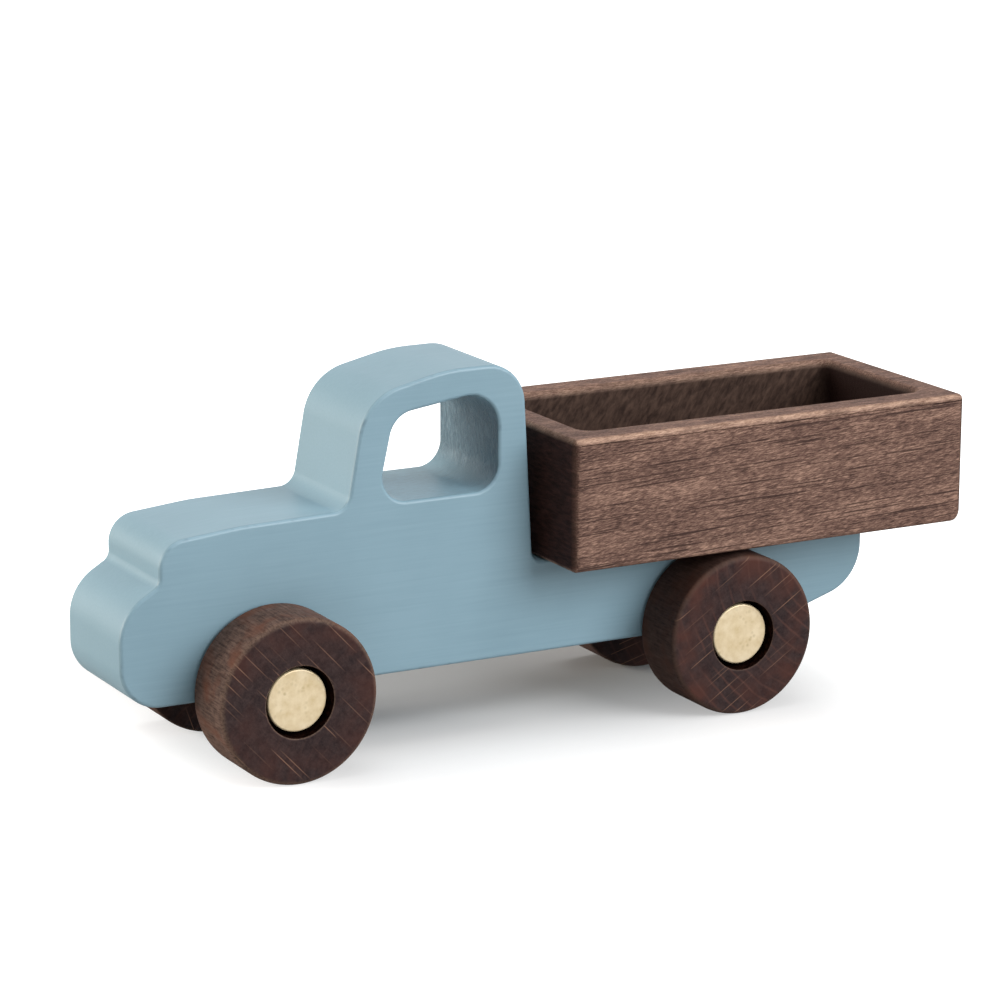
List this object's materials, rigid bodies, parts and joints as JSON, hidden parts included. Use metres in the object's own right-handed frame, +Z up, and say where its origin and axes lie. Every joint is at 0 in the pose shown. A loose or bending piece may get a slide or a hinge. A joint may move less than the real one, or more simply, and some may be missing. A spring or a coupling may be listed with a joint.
{
  "type": "toy dump truck",
  "caption": "Wooden toy dump truck: plank body with a see-through cab window, wheels on pegs, and a hollowed load box that tips back on a small brass hinge.",
  "frame": {"origin": "on the ground, under the middle of the truck's length and width", "axes": "+X forward to the nose, +Y to the truck's left, +Z up"},
  "size_m": [0.1948, 0.055, 0.0793],
  "materials": {
    "painted_body": "matte blue-grey paint",
    "stained_box": "brown stain, oiled",
    "stained_wheel": "dark stain on end grain, oiled",
    "gold_peg": "pale gold paint",
    "hinge_brass": "satin"
  },
  "bodies": {
    "truck": {"truck_body": "painted_body", "peg_front_left": "gold_peg", "peg_front_right": "gold_peg", "peg_rear_left": "gold_peg", "peg_rear_right": "gold_peg", "hinge_body_leaf": "hinge_brass", "hinge_pin": "hinge_brass", "hinge_body_screws": "hinge_brass"},
    "load_box": {"tipper_box": "stained_box", "hinge_box_leaf": "hinge_brass", "hinge_box_screws": "hinge_brass"},
    "front_left_wheel": {"wheel_front_left": "stained_wheel"},
    "front_right_wheel": {"wheel_front_right": "stained_wheel"},
    "rear_left_wheel": {"wheel_rear_left": "stained_wheel"},
    "rear_right_wheel": {"wheel_rear_right": "stained_wheel"}
  },
  "joints": [
    {"name": "front_left_roll", "type": "hinge", "parent": "truck", "child": "front_left_wheel", "pos_m": [0.0643, 0.02075, 0.0175], "axis": [0, 1, 0], "continuous": true},
    {"name": "front_right_roll", "type": "hinge", "parent": "truck", "child": "front_right_wheel", "pos_m": [0.0643, -0.02075, 0.0175], "axis": [0, 1, 0], "continuous": true},
    {"name": "rear_left_roll", "type": "hinge", "parent": "truck", "child": "rear_left_wheel", "pos_m": [-0.0407, 0.02075, 0.0175], "axis": [0, 1, 0], "continuous": true},
    {"name": "rear_right_roll", "type": "hinge", "parent": "truck", "child": "rear_right_wheel", "pos_m": [-0.0407, -0.02075, 0.0175], "axis": [0, 1, 0], "continuous": true},
    {"name": "box_tip", "type": "hinge", "parent": "truck", "child": "load_box", "pos_m": [-0.0822, 0, 0.0337], "axis": [0, -1, 0], "range_deg": [0, 90]}
  ]
}
